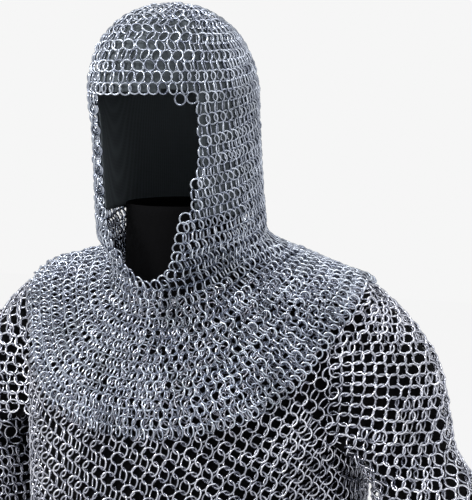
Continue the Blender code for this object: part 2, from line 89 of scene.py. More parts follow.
def new_material(name, settings):
    """A material, and its Principled shader with some even values set."""
    material = bpy.data.materials.new(name)
    material.use_nodes = True
    shader = material.node_tree.nodes["Principled BSDF"]
    for socket, value in settings.items():
        shader.inputs[socket].default_value = value
    return material, shader


# %% [markdown]
# The photo is taken a little from the wearer's left and from just below the height of the
# crown. A long lens keeps the perspective mild. The camera is the first thing in the scene, so
# that every test render already shows the view that the photo has.

# %% The camera
PHOTO_WIDE, PHOTO_HIGH = 472, 500
CAMERA_TURN = math.radians(26)
CAMERA_AWAY = 1.70
CAMERA_HIGH = 0.275
FOCAL_PIXELS = 1717
HORIZON_ROW = 45
AXIS_COLUMN = 200
SENSOR = 36

camera_data = bpy.data.cameras.new("camera")
camera_data.sensor_width = SENSOR
camera_data.lens = FOCAL_PIXELS * SENSOR / max(PHOTO_WIDE, PHOTO_HIGH)
camera_data.clip_end = 50
camera = bpy.data.objects.new("camera", camera_data)
bpy.context.scene.collection.objects.link(camera)
camera.location = (math.sin(CAMERA_TURN) * CAMERA_AWAY, -math.cos(CAMERA_TURN) * CAMERA_AWAY, CAMERA_HIGH)
pitch = math.atan((PHOTO_HIGH / 2 - HORIZON_ROW) / FOCAL_PIXELS)
sideways = math.atan((PHOTO_WIDE / 2 - AXIS_COLUMN) / FOCAL_PIXELS)
camera.rotation_euler = (math.pi / 2 - pitch, 0, CAMERA_TURN - sideways)
bpy.context.scene.camera = camera
print("camera: lens", round(camera_data.lens, 1), "mm, pitch", round(math.degrees(pitch), 1), "degrees")

# %% [markdown]
# The light is a plain soft studio: a large lamp high on the left, a weaker one on the right, one
# above and a pale world. Metal shows what surrounds it, so the world is also what the rings
# mirror. The backdrop is white to the camera, but its light on the object stays weak. The floor
# glows a little, to match the backdrop, and the rest of it is paper that takes the shadow.

# %% Floor, backdrop and light
PAPER = linear("f6f6f6")
FLOOR_BELOW = 0.9
AMBIENT = 0.34               # strength of the backdrop's light on the object
GLOW = 0.954                 # strength of the floor's own white
GLOW_SHARE = 0.93            # of the floor's look


def area_light(name, place, aim, wide, power):
    """A square lamp that faces a point."""
    data = bpy.data.lights.new(name, "AREA")
    data.shape = "SQUARE"
    data.size = wide
    data.energy = power
    lamp = bpy.data.objects.new(name, data)
    bpy.context.scene.collection.objects.link(lamp)
    lamp.location = place
    lamp.rotation_euler = (Vector(aim) - Vector(place)).to_track_quat("-Z", "Y").to_euler()


area_light("key_light", (-1.6, -2.2, 2.2), (0, 0, 0.05), wide=1.1, power=78)
area_light("side_light", (2.6, -1.2, 1.2), (0, 0, 0.0), wide=1.6, power=16)
area_light("top_light", (0.2, 0.6, 3.0), (0, 0, 0.1), wide=1.6, power=36)

world = bpy.data.worlds.new("studio")
bpy.context.scene.world = world
world.use_nodes = True
backdrop = world.node_tree.nodes["Background"]
backdrop.inputs["Color"].default_value = PAPER


def seen_directly(owner):
    """1 for what the camera sees itself, in a mirror or through glass, else 0."""
    path = add_node(owner, "ShaderNodeLightPath")
    mirrored = add_node(owner, "ShaderNodeMath", {"operation": "MAXIMUM"},
                        {0: path.outputs["Is Camera Ray"], 1: path.outputs["Is Glossy Ray"]})
    both = add_node(owner, "ShaderNodeMath", {"operation": "MAXIMUM"},
                    {0: mirrored.outputs["Value"], 1: path.outputs["Is Transmission Ray"]})
    return both.outputs["Value"]


strength = add_node(world, "ShaderNodeMapRange", {"To Min": AMBIENT, "To Max": 1.0},
                    {"Value": seen_directly(world)})
link(world, backdrop, {"Strength": strength.outputs["Result"]})

bpy.ops.mesh.primitive_plane_add(size=12, location=(0, 0, -FLOOR_BELOW))
floor = bpy.context.object
floor.name = "floor"
paper, paper_shader = new_material("matt_white_paper", {"Base Color": PAPER, "Roughness": 0.95})
glow = add_node(paper, "ShaderNodeEmission", {"Strength": GLOW})
share = add_node(paper, "ShaderNodeMath", {"operation": "MULTIPLY", 1: GLOW_SHARE},
                 {0: seen_directly(paper)})
whole = add_node(paper, "ShaderNodeMixShader", {},
                 {0: share.outputs["Value"], 1: paper_shader.outputs["BSDF"], 2: glow.outputs["Emission"]})
link(paper, paper.node_tree.nodes["Material Output"], {"Surface": whole.outputs["Shader"]})
floor.data.materials.append(paper)

bpy.context.scene.view_settings.view_transform = "Standard"
print("floor", FLOOR_BELOW, "m below the shoulders, three lamps, backdrop at", AMBIENT)

# %% [markdown]
# Mail hangs in rows. The first step is the shape that the rows follow, as a table of lines
# from the neck down to the armpits, drawn once for the left half. A smooth curve through the
# points of a line, and another across the lines, gives the place of any point of the yoke.
# These are the same shares and sizes that the solid shells were made from.

# %% Sizes and tables of the garment
SHOULDER_RISE = 80 * MM
ARMPIT_DROP = 90 * MM
HEM_DROP = 700 * MM
CHEST_HALF = 171 * MM
CHEST_FRONT = 140 * MM
CHEST_BACK = 122 * MM
SKIRT_FOLD = 9 * MM
SKIRT_FOLD_COUNT = 11
ARMHOLE_X = 179 * MM
SLEEVE_LENGTH = 225 * MM
SLEEVE_WIDE = 40 * MM
SLEEVE_DEEP = 64 * MM
CUFF_WIDE = 60 * MM
CUFF_DEEP = 64 * MM
SLEEVE_X = ARMHOLE_X + 3 * MM + SLEEVE_WIDE
SHOULDER_HALF = SLEEVE_X + SLEEVE_WIDE
SLEEVE_SPREADS = {"left": 62 * MM, "right": 24 * MM}
SLEEVE_SETBACKS = {"left": 0.0, "right": 18 * MM}
CROWN_RISE = 315 * MM
HOOD_HALF = 81 * MM
HOOD_DEEP = 101 * MM
HOOD_SHIFT_X = -8 * MM
HOOD_SHIFT_Y = -26 * MM
HOOD_LEAN = 12 * MM
NECK_Z = 100 * MM
BROW_Z = 222 * MM
FACE_HALF_TURN = math.radians(43)

# Lines from the front round the left side to the back; x, y and z of each point from the neck down.
YOKE_SHARES = (
    ((0, -0.47, 0.5), (0, -0.66, 0.08), (0, -0.84, -0.3), (0, -0.97, -0.66), (0, -1, -1)),
    ((0.22, -0.38, 0.6), (0.3, -0.57, 0.28), (0.39, -0.73, -0.16), (0.45, -0.9, -0.59), (0.46, -0.93, -1)),
    ((0.36, -0.24, 0.72), (0.51, -0.37, 0.5), (0.66, -0.51, 0.06), (0.78, -0.64, -0.43), (0.81, -0.69, -1)),
    ((0.43, -0.1, 0.79), (0.66, -0.17, 0.64), (0.89, -0.3, 0.33), (0.98, -0.42, -0.28), (0.94, -0.45, -1)),
    ((0.29, 0.02, 0.84), (0.48, -0.02, 0.7), (0.69, -0.14, 0.42), (0.82, -0.32, -0.25), (0.84, -0.45, -1)),
    ((0.3, 0.13, 0.87), (0.49, 0.11, 0.73), (0.72, 0.09, 0.46), (0.93, 0.03, -0.21), (1, 0.01, -1)),
    ((0.29, 0.25, 0.9), (0.47, 0.32, 0.7), (0.68, 0.39, 0.4), (0.82, 0.48, -0.25), (0.85, 0.53, -1)),
    ((0.37, 0.39, 0.93), (0.63, 0.49, 0.68), (0.89, 0.57, 0.3), (0.98, 0.57, -0.28), (0.94, 0.48, -1)),
    ((0.22, 0.48, 0.95), (0.43, 0.67, 0.68), (0.63, 0.8, 0.22), (0.73, 0.85, -0.41), (0.75, 0.76, -1)),
    ((0, 0.53, 0.97), (0, 0.76, 0.72), (0, 0.92, 0.22), (0, 1, -0.41), (0, 1, -1)),
)
ARM_LINES = (4, 5, 6)        # the lines of YOKE_SHARES that run over the shoulder
FRONT_CREASE, BACK_CREASE = 3, 7      # the lines that run down to the ends of the armpit
# Where the mantle touches down and where it ends, in shares of each of those lines.
LAND_SHARES = (0.3, 0.26, 0.17, 0.12, 0.1, 0.1, 0.1, 0.1, 0.1, 0.1)
MANTLE_END_SHARES = (0.98, 0.9, 0.77, 0.62, 0.47, 0.42, 0.43, 0.52, 0.66, 0.8)
# A row each: the way down the body, its half width, and its depth in front and behind.
BODY_SHARES = ((0, 1, 1, 1), (0.22, 0.985, 1.01, 0.96), (0.46, 0.96, 0.98, 0.92),
               (0.66, 1.02, 0.98, 0.98), (0.84, 1.1, 1.02, 1.04), (1, 1.16, 1.05, 1.08))
# A row each: the way up the hood, its half width, its depth and its shift to the back.
HOOD_SHARES = ((0, 0.95, 0.98, 0.02), (0.07, 0.95, 0.978, 0.02), (0.24, 0.95, 0.945, 0.01),
               (0.45, 0.95, 0.94, 0.01), (0.64, 0.955, 0.965, 0), (0.8, 0.84, 0.87, 0.02),
               (0.91, 0.62, 0.66, 0.03), (0.975, 0.34, 0.36, 0.04), (1, 0.04, 0.04, 0.04))
NECK_SHARE = 0.40
NOTCH_CURVE_SHARE = 0.6
CHIN_SHARE = 0.77
CHEEK_SHARE = 0.4
print("chest", round(2 * CHEST_HALF / MM), "mm wide, hem", round(HEM_DROP / MM), "mm below the shoulders")

# %% [markdown]
# A Catmull-Rom curve passes through all its points and needs no handles, which makes it the
# simplest way to draw a smooth shape from a short table. Numpy works out many places at once.

# %% Smooth curves through tables
TABLE_SAMPLES = 200          # places at which a table is worked out, to read it by its first column
TINY = 1e-9                  # keeps a division by a length from failing
JUST_IN = 0.001              # a hair's breadth inside a limit, in lines, rows or turns


def through(table, position, looped=False):
    """Values of a table at places between its rows, on a smooth curve through them."""
    table = np.asarray(table, float)
    position = np.atleast_1d(position)
    count = len(table)
    if looped:
        start = np.floor(position).astype(int)
        rows = [(start + step) % count for step in (-1, 0, 1, 2)]
    else:
        table = np.concatenate((2 * table[:1] - table[1:2], table, 2 * table[-1:] - table[-2:-1]))
        start = np.clip(np.floor(position).astype(int), 0, count - 2)
        rows = [start + step for step in (0, 1, 2, 3)]
    way = position - start
    mix = ((-way + 2 * way ** 2 - way ** 3) / 2, (2 - 5 * way ** 2 + 3 * way ** 3) / 2,
           (way + 4 * way ** 2 - 3 * way ** 3) / 2, (way ** 3 - way ** 2) / 2)
    shape = (-1,) + (1,) * (table.ndim - 1)
    return sum(table[row] * part.reshape(shape) for row, part in zip(rows, mix))


def by_share(table, way):
    """Reads a table whose first column is the way along."""
    table = np.asarray(table, float)
    fine = through(table, np.linspace(0, len(table) - 1, TABLE_SAMPLES))
    return [np.interp(way, fine[:, 0], fine[:, column]) for column in range(1, table.shape[1])]


def full_turn(half):
    """A table drawn for one side, continued round the other side."""
    half = np.asarray(half, float)
    other = half[-2:0:-1].copy()
    if half.ndim == 3:
        other[..., 0] *= -1
    return np.concatenate((half, other))


def steps_of(points):
    """The distances from each point of a line, or of every line of a grid, to the next."""
    return np.linalg.norm(np.diff(points, axis=0), axis=-1)


def running(steps):
    """The way gone at each point of a line, from its steps."""
    return np.concatenate(([0], np.cumsum(steps)))


def read_line(wanted, marks, points):
    """Points of a line at some places between its marks."""
    return np.stack([np.interp(wanted, marks, points[:, axis]) for axis in range(3)], axis=-1)


def spread_evenly(points, steps):
    """Points at equal distances along a drawn line."""
    lengths = running(steps_of(points))
    return read_line(np.linspace(0, lengths[-1], steps + 1), lengths, points)


def unit(vectors):
    """The same directions, each of length 1."""
    return vectors / np.maximum(np.linalg.norm(vectors, axis=-1, keepdims=True), TINY)


def from_front(turns):
    """How far places round the body are from its front, in turns, to either side."""
    return np.abs((turns + 0.5) % 1 - 0.5)


yoke_half = []
for place, shares in enumerate(YOKE_SHARES):
    half_wide = SHOULDER_HALF if place in ARM_LINES else CHEST_HALF
    yoke_half.append([(x * half_wide, y * (CHEST_FRONT if y < 0 else CHEST_BACK),
                       z * (SHOULDER_RISE if z > 0 else ARMPIT_DROP)) for x, y, z in shares])
YOKE_LINES = full_turn(yoke_half)
print("yoke:", len(YOKE_LINES), "lines of", len(YOKE_LINES[0]), "points")

# %% [markdown]
# The mail is laid on grids. A grid holds one column of points for each direction round the
# body, and one line of points for every half row of rings. Between its points the place and
# the outward direction of the surface are read off by plain interpolation, which is quick
# enough for thousands of rings.

# %% Grids
COLUMNS = 252                # a multiple of 18, so that the armpit creases lie on columns
HALF_ROWS = 2                # grid lines for each row of rings
TURNS = np.arange(COLUMNS) / COLUMNS


class Grid:
    """Columns of points round the body, from a first row of rings to a last one."""

    def __init__(self, columns, first_row, breaks=(), broken_lines=0):
        """breaks are turns where the surface is cut open, down to some line, as at an armhole."""
        self.points = np.stack(columns, axis=1)
        self.first = first_row
        self.last = first_row + (len(self.points) - 1) / HALF_ROWS
        after, before = np.roll(self.points, -1, axis=1), np.roll(self.points, 1, axis=1)
        around = after - before
        for turn, way in breaks:
            column = round(turn * COLUMNS)
            here = self.points[:broken_lines, column]
            far = before[:broken_lines, column] if way < 0 else after[:broken_lines, column]
            around[:broken_lines, column] = (here - far) * (-way)
        down = np.gradient(self.points, axis=0)
        self.normals = unit(np.cross(down, around))

    def read(self, values, turn, row):
        """Values between the points, at turns round the body and at rows down it."""
        column = (turn % 1) * COLUMNS
        line = np.clip((row - self.first) * HALF_ROWS, 0, len(values) - 1 - JUST_IN)
        left, top = np.floor(column).astype(int), np.floor(line).astype(int)
        across, down = (column - left)[:, None], (line - top)[:, None]
        left, right = left % COLUMNS, (left + 1) % COLUMNS
        upper = values[top, left] * (1 - across) + values[top, right] * across
        lower = values[top + 1, left] * (1 - across) + values[top + 1, right] * across
        return upper * (1 - down) + lower * down

    def place(self, turn, row):
        """Points of the surface."""
        return self.read(self.points, turn, row)

    def outward(self, turn, row):
        """Directions that point away from the surface."""
        return unit(self.read(self.normals, turn, row))

    def moved(self, distance):
        """The same grid, moved outwards."""
        other = Grid.__new__(Grid)
        other.points = self.points + self.normals * distance
        other.normals, other.first, other.last = self.normals, self.first, self.last
        return other


print("grids have", COLUMNS, "columns and", HALF_ROWS, "lines for each row of rings")

# %% [markdown]
# The trunk of the shirt runs from the neck edge over the yoke, past the armpits and down to
# the hem. Its lines under the arms are drawn straight across from the front crease to the back
# crease: the rings there are left out later, where the sleeves join.

# %% The trunk of the shirt
SHIRT_ROW = 10.0 * MM        # distance from one row of rings to the next
YOKE_ROWS = 17
BODY_ROWS = round((HEM_DROP - ARMPIT_DROP) / SHIRT_ROW)
ARM_START, ARM_STOP = FRONT_CREASE / len(YOKE_LINES), BACK_CREASE / len(YOKE_LINES)
ROUND_SHARE = 0.84           # 1 is an ellipse, less is squarer
LINE_SAMPLES = 60            # points of a drawn line, before they are spread evenly


def body_point(turn, down):
    """The body below the armpits; folds grow towards the hem."""
    side, front = math.sin(turn), math.cos(turn)
    wide, fore, aft = by_share(BODY_SHARES, down)
    x = CHEST_HALF * wide * math.copysign(abs(side) ** ROUND_SHARE, side)
    deep = CHEST_FRONT * fore if front > 0 else CHEST_BACK * aft
    y = -deep * math.copysign(abs(front) ** ROUND_SHARE, front)
    fold = SKIRT_FOLD * down ** 2 * math.cos(SKIRT_FOLD_COUNT * turn)
    reach = np.hypot(x, y)
    return np.stack((x * (1 + fold / reach), y * (1 + fold / reach),
                     -ARMPIT_DROP - (HEM_DROP - ARMPIT_DROP) * down), axis=1)


def turn_of(point):
    """The direction of a point of the armpit line, as the body's own angle."""
    x, y = point[0], point[1]
    side = math.copysign(abs(x / CHEST_HALF) ** (1 / ROUND_SHARE), x)
    front = math.copysign(abs(y / (CHEST_FRONT if y < 0 else CHEST_BACK)) ** (1 / ROUND_SHARE), -y)
    return math.atan2(side, front)


def trunk_line(turn):
    """The drawn points of one line; under an arm it lies between the two creases."""
    away = from_front(turn)
    if not ARM_START < away < ARM_STOP:
        return through(YOKE_LINES, turn * len(YOKE_LINES), True)[0]
    way = (away - ARM_START) / (ARM_STOP - ARM_START)
    front, back = YOKE_LINES[FRONT_CREASE], YOKE_LINES[BACK_CREASE]
    line = front * (1 - way) + back * way
    line[:, 0] += (CHEST_HALF - front[-1, 0]) * math.sin(way * math.pi)
    if (turn % 1) > 0.5:
        line[:, 0] *= -1
    return line


def drawn(line, rows):
    """A line of the yoke as a smooth curve, with a point for every half row."""
    return spread_evenly(through(line, np.linspace(0, len(line) - 1, LINE_SAMPLES)), rows * HALF_ROWS)


def downs(rows):
    """The way down at every half row below a first one, from just above 0 to 1."""
    return np.arange(1, rows * HALF_ROWS + 1) / (rows * HALF_ROWS)


trunk_columns = []
for turn in TURNS:
    line = trunk_line(turn)
    below = body_point(turn_of(line[-1]), downs(BODY_ROWS))
    trunk_columns.append(np.concatenate((drawn(line, YOKE_ROWS), below)))
crease_breaks = ((ARM_START, -1), (ARM_STOP, 1), (1 - ARM_STOP, -1), (1 - ARM_START, 1))
trunk = Grid(trunk_columns, -YOKE_ROWS, crease_breaks, YOKE_ROWS * HALF_ROWS)
print("trunk grid:", trunk.points.shape)

# %% [markdown]
# A sleeve strip starts at the neck too. It runs over the shoulder, between the two creases,
# and becomes a closed tube below the armpit.

# %% The two sleeves
SLEEVE_ROW = 10.4 * MM
CAP_ROWS = 24
TUBE_ROWS = round(SLEEVE_LENGTH / SLEEVE_ROW)
SETTLE_LENGTH = 50 * MM      # over this length the shoulder's section turns into the tube's
CREASE_TURN = 0.75           # of the sleeve's turn, where its two creases meet below the armpit


def sleeve_column(side, turn):
    """One line of a sleeve; turn 0 is its front, a quarter is its outer side."""
    name = "left" if side > 0 else "right"
    across = turn if turn < CREASE_TURN else turn - 1
    position = BACK_CREASE + (BACK_CREASE - FRONT_CREASE) * (across - CREASE_TURN)
    cap = drawn(through(YOKE_LINES, position, True)[0], CAP_ROWS)
    down = downs(TUBE_ROWS)
    wide = SLEEVE_WIDE + (CUFF_WIDE - SLEEVE_WIDE) * np.sin(down * math.pi / 2)
    deep = SLEEVE_DEEP + (CUFF_DEEP - SLEEVE_DEEP) * down
    x = SLEEVE_X + SLEEVE_SPREADS[name] * down + wide * math.sin(2 * math.pi * turn)
    y = SLEEVE_SETBACKS[name] * np.sin(down * math.pi / 2) - deep * math.cos(2 * math.pi * turn)
    tube = np.stack((x, y, -ARMPIT_DROP - SLEEVE_LENGTH * down), axis=1)
    settle = np.clip(down * SLEEVE_LENGTH / SETTLE_LENGTH, 0, 1)[:, None]
    settle = settle * settle * (3 - 2 * settle)
    head = np.array((max(cap[-1, 0], SLEEVE_X - SLEEVE_WIDE), cap[-1, 1], 0))
    tube[:, :2] = head[:2] * (1 - settle) + tube[:, :2] * settle
    column = np.concatenate((cap, tube))
    column[:, 0] *= side
    return column


HOLLOW_START = CREASE_TURN - 1 / COLUMNS     # above the armpit, no net lies between the creases
HOLLOW_ROWS = CAP_ROWS + 4   # the tube takes a few rows to close below the armpit
hollow = ((HOLLOW_START, -1), (CREASE_TURN, 1))
sleeves = {}
for name, side in (("left", 1), ("right", -1)):
    columns = [sleeve_column(side, turn) for turn in TURNS]
    sleeves[name] = Grid(columns, -CAP_ROWS, hollow, HOLLOW_ROWS * HALF_ROWS)
sleeves["right"].normals *= -1
print("sleeve grid:", sleeves["left"].points.shape)

# %% [markdown]
# The coif is one net from the crown to the edge of its mantle. The hood is a dome over a
# tube. Below the level of the chin it widens, lands on the shoulders and spreads over them.

# %% The coif
COIF_ROW = 9.3 * MM
SHOULDER_ROWS = 20           # from the foot of the hood to the edge of the mantle
MANTLE_OUT = 7.2 * MM
YOKE_FINE = 120              # steps of the yoke's lines where the mantle is read off them
HOOD_SAMPLES, NECK_SAMPLES = 160, 40
AIM_SHARE = 0.03             # the fall ends in the yoke's own direction, read over this share


def hood_column(turn):
    """One line of the hood, from the crown to its foot."""
    up = np.linspace(1, 0, HOOD_SAMPLES)
    wide, deep, back = by_share(HOOD_SHARES, up)
    angle = 2 * math.pi * turn
    x = HOOD_SHIFT_X - HOOD_LEAN * up + HOOD_HALF * wide * math.sin(angle)
    y = HOOD_SHIFT_Y + HOOD_DEEP * back - HOOD_DEEP * deep * math.cos(angle)
    return np.stack((x, y, NECK_Z + (CROWN_RISE - NECK_Z) * up), axis=1)


hood_lines = [hood_column(turn) for turn in TURNS]
hood_length = np.mean([steps_of(line).sum() for line in hood_lines])
HOOD_ROWS = round(hood_length / COIF_ROW)

fine_steps = np.linspace(0, len(YOKE_LINES[0]) - 1, YOKE_FINE + 1)
yoke_fine = Grid([through(through(YOKE_LINES, turn * len(YOKE_LINES), True)[0], fine_steps)
                  for turn in TURNS], 0)
resting = yoke_fine.moved(MANTLE_OUT)
land_shares = through(full_turn(LAND_SHARES), TURNS * len(YOKE_LINES), True)
end_shares = through(full_turn(MANTLE_END_SHARES), TURNS * len(YOKE_LINES), True)


def neck_and_mantle(column):
    """From the foot of the hood: a fall that bends outwards, then the stretch on the shoulders."""
    on_yoke = np.linspace(0, 1, YOKE_FINE + 1)
    land, stop = land_shares[column], end_shares[column]
    mantle = read_line(np.linspace(land, stop, LINE_SAMPLES), on_yoke, resting.points[:, column])
    top, foot = hood_lines[column][-1], mantle[0]
    reach = np.linalg.norm(foot - top)
    fall = np.array((0, 0, -reach))
    along = yoke_fine.points[round((land + AIM_SHARE) * YOKE_FINE), column]
    spread = unit(along - yoke_fine.points[round(land * YOKE_FINE), column]) * reach
    way = np.linspace(0, 1, NECK_SAMPLES)[:, None]
    neck = (top * (2 * way ** 3 - 3 * way ** 2 + 1) + fall * (way ** 3 - 2 * way ** 2 + way)
            + foot * (3 * way ** 2 - 2 * way ** 3) + spread * (way ** 3 - way ** 2))
    return spread_evenly(np.concatenate((neck, mantle[1:])), SHOULDER_ROWS * HALF_ROWS)


coif_columns = []
for column in range(COLUMNS):
    hood = spread_evenly(hood_lines[column], HOOD_ROWS * HALF_ROWS)
    coif_columns.append(np.concatenate((hood, neck_and_mantle(column)[1:])))
coif = Grid(coif_columns, 0)
NECK_ROW = HOOD_ROWS
LAND_ROW = NECK_ROW + SHOULDER_ROWS * NECK_SHARE
EDGE_ROW = NECK_ROW + SHOULDER_ROWS
print("coif rows: hood", HOOD_ROWS, "neck and mantle", SHOULDER_ROWS)

# %% [markdown]
# European mail is a net in which each ring holds two rings of the row above and two of the row
# below. So a row of rings is laid by putting each ring halfway between two rings of the last
# row. Where the surface widens, the maker adds a ring, and where it narrows, one is left out.
# The code does the same: it keeps count of the surplus as it goes round, and adds or drops a
# ring when the surplus has grown to most of a ring. A little smoothing then evens the row.

# %% Laying the rows
FINE = np.arange(COLUMNS + 1) / COLUMNS
FEWEST = 6                   # rings in the first row
SURPLUS_SHARE = 0.8          # of a ring, before one is added or dropped
EVEN_SHARE, EVEN_ROUNDS = 0.3, 3
TURN, LEVEL, ROW, SIGN, SPACING = range(5)      # the columns of a table of laid rings
SHIRT_LEAN_TURN = 0.05       # where a tilted row of the shirt crosses its own mean level
COIF_LEAN_TURN = -0.25       # the rows of the coif are lowest at the front


def row_level(base, tilt, turns, lean_turn):
    """A row hangs lower on one side where the net hangs askew."""
    return base + tilt * np.sin(2 * math.pi * (turns - lean_turn))


def hang_row(before, signs, total, pitch, group):
    """Places and signs of a row hung from the one above, with rings added or dropped by groups."""
    gaps = np.diff(np.append(before, before[0] + total))
    places, kept_signs, surplus, skip = [], [], 0.0, 0
    for place, gap, sign in zip(before, gaps, signs):
        surplus += gap / pitch - 1
        if surplus < -SURPLUS_SHARE * group:
            surplus += group
            skip = group
        if skip:
            skip -= 1
            continue
        if surplus > SURPLUS_SHARE * group:
            surplus -= group
            shares = (0, 1 / 3, 2 / 3) if group == 2 else (1 / 3, 2 / 3)
        else:
            shares = (0,) if group == 2 else (1 / 2,)
        places += [place + gap * share for share in shares]
        kept_signs += [sign * (-1.0) ** (step * (group - 1)) for step in range(len(shares))]
    return np.array(places), np.array(kept_signs)


def evened(places, total):
    """Places round a closed row, each moved towards the middle of its neighbours."""
    for _ in range(EVEN_ROUNDS):
        after, earlier = np.roll(places, -1), np.roll(places, 1)
        after[-1] += total
        earlier[0] -= total
        places = places + EVEN_SHARE * ((earlier + after) / 2 - places)
    return places


def lay_rows(grid, rows, seed, lean_turn, wider=None, upright=False):
    """A table of the rings on rows, each of which is given by its base, tilt and pitch.

    wider, if given, says how much wider than the pitch the rings lie at each place of a row. In
    an upright net each ring hangs right below one of the last row, and the signs alternate
    along the row as well, so rings are added and dropped in pairs.
    """
    maker = random.Random(seed)
    turns = None
    group = 2 if upright else 1
    laid = []
    for number, (base, tilt, pitch) in enumerate(rows):
        line = grid.place(FINE, row_level(base, tilt, FINE, lean_turn))
        steps = steps_of(line)
        if wider is not None:
            steps = steps / wider(FINE[:-1], base)
        length = running(steps)
        total = length[-1]
        if turns is None:
            count = max(FEWEST, group * round(total / pitch / group))
            places = np.arange(count) / count * total
            signs = (-1.0) ** np.arange(count) if upright else np.ones(count)
        else:
            before = np.interp(turns, FINE, length)
            start = maker.randrange(len(before))
            before = np.concatenate((before[start:], before[:start] + total))
            places, signs = hang_row(before, -np.roll(signs, -start), total, pitch, group)
        turns = np.interp(evened(places, total) % total, length, FINE) % 1
        order = np.argsort(turns)
        turns, signs = turns[order], signs[order]
        spacing = pitch * (wider(turns, base) if wider is not None else np.ones(len(turns)))
        laid.append(np.stack((turns, row_level(base, tilt, turns, lean_turn),
                              np.full(len(turns), float(number)), signs, spacing), axis=1))
    return np.concatenate(laid)


def frames_on(grid, spots, rows, lean_turn):
    """Place, outward direction and direction along the row, for each laid ring."""
    turns, levels = spots[:, TURN], spots[:, LEVEL]
    tilts = np.array([rows[int(number)][1] for number in spots[:, ROW]])
    step = 0.5 / COLUMNS
    ahead, behind = (row_level(0, tilts, turns + way, lean_turn) for way in (step, -step))
    lift = (ahead - behind) / 2
    along = unit(grid.place(turns + step, levels + lift) - grid.place(turns - step, levels - lift))
    return grid.place(turns, levels), grid.outward(turns, levels), along


# %% [markdown]
# The rings of one row lie on each other like shingles, and those of the next row like shingles
# laid the other way. In real mail that goes with the links: where two rings cross, one is on top
# at the first crossing and below at the second. Here the links are not worked out one by one.
# The tilts give the look, but many rings pass through two neighbours only, and some cut into
# the next. The closer the rings of a row, the steeper they stand, so the tilt of each comes
# from its distance to the next. A torus for each ring would be slow to add one by one, so one
# numpy sum makes all rings of a piece. The wire has four sides. It is a little thicker from
# edge to edge than round wire, so that its mean width is right.

# %% Rings as one mesh
WIRE_SIDES = 4
EDGE_SHARE = 1.13            # wire radius at its four edges, of the round wire's


class RingKind:
    """The sizes of one kind of ring: inner diameter, wire and the corners that the circle gets."""

    def __init__(self, inner, wire, sides):
        self.outer = inner + 2 * wire
        self.middle = (inner + wire) / 2
        self.wire = wire / 2 * EDGE_SHARE
        self.sides = sides


SHIRT_RING = RingKind(11.3 * MM, 2.0 * MM, 14)
COIF_RING = RingKind(9.5 * MM, 1.8 * MM, 12)
for label, kind in (("shirt", SHIRT_RING), ("coif", COIF_RING)):
    print("a ring of the", label, "is", round(kind.outer / MM, 1), "mm across")
SPACINGS = (0.50, 0.75, 0.95, 1.3)     # of a ring's outer diameter
TILTS = (47, 34, 27, 12)               # degrees, at each of these spacings
LOOSE_LEAN, LOOSE_TILT, LOOSE_SHIFT = 4.0, 3.0, 0.25 * MM     # how much rings differ by chance


def ring_axes(places, normals, alongs, signs, spacing, kind, seed):
    """Places and axes of the rings, with the small differences that hand-closed rings have."""
    chance = np.random.default_rng(seed)
    count = len(places)
    across = np.cross(normals, alongs)
    lean = np.radians(chance.normal(0, LOOSE_LEAN, count))
    tilt = np.interp(spacing / kind.outer, SPACINGS, TILTS)
    tilt = signs * np.radians(tilt + chance.normal(0, LOOSE_TILT, count))
    axes = normals * np.cos(tilt)[:, None] + alongs * np.sin(tilt)[:, None]
    axes = unit(axes + across * np.sin(lean)[:, None])
    return places + chance.normal(0, LOOSE_SHIFT, (count, 3)), axes


NEARLY_UPRIGHT = 0.9         # an axis that stands steeper is turned from X, not from Z


def ring_object(name, places, axes, kind, seed):
    """One mesh of many rings, with a tone for each ring."""
    count, sides = len(places), kind.sides
    leaning = np.abs(axes[:, 2:3]) < NEARLY_UPRIGHT
    first = unit(np.cross(np.where(leaning, [[0, 0, 1.0]], [[1.0, 0, 0]]), axes))
    second = np.cross(axes, first)
    turn = np.arange(sides) * 2 * math.pi / sides
    outward = first[:, None] * np.cos(turn)[None, :, None] + second[:, None] * np.sin(turn)[None, :, None]
    bend = (np.arange(WIRE_SIDES) + 0.5) * 2 * math.pi / WIRE_SIDES
    reach = kind.middle + kind.wire * np.cos(bend)
    points = (places[:, None, None] + outward[:, :, None] * reach[None, None, :, None]
              + axes[:, None, None] * (kind.wire * np.sin(bend))[None, None, :, None])
    number = np.arange(count * sides * WIRE_SIDES).reshape(count, sides, WIRE_SIDES)
    after, over = np.roll(number, -1, axis=1), np.roll(number, -1, axis=2)
    quads = np.stack((number, after, np.roll(after, -1, axis=2), over), axis=-1).reshape(-1, 4)
    mesh = bpy.data.meshes.new(name)
    mesh.vertices.add(number.size)
    mesh.vertices.foreach_set("co", points.reshape(-1).astype(np.float32))
    mesh.loops.add(quads.size)
    mesh.loops.foreach_set("vertex_index", quads.reshape(-1).astype(np.int32))
    mesh.polygons.add(len(quads))
    mesh.polygons.foreach_set("loop_start", np.arange(0, quads.size, 4, dtype=np.int32))
    mesh.update(calc_edges=True)
    mesh.shade_smooth()
    tones = np.random.default_rng(seed).uniform(0, 1, count)
    tone = mesh.attributes.new("ring_tone", "FLOAT", "POINT")
    tone.data.foreach_set("value", np.repeat(tones, sides * WIRE_SIDES).astype(np.float32))
    obj = bpy.data.objects.new(name, mesh)
    bpy.context.scene.collection.objects.link(obj)
    return obj


# %% [markdown]
# The rings of the shirt. Its rows fall towards the wearer's left, as in the photo, and come
# level again at the hem. Between the two creases of each armpit there is no trunk above the
# armpit line, so the rings there are dropped.

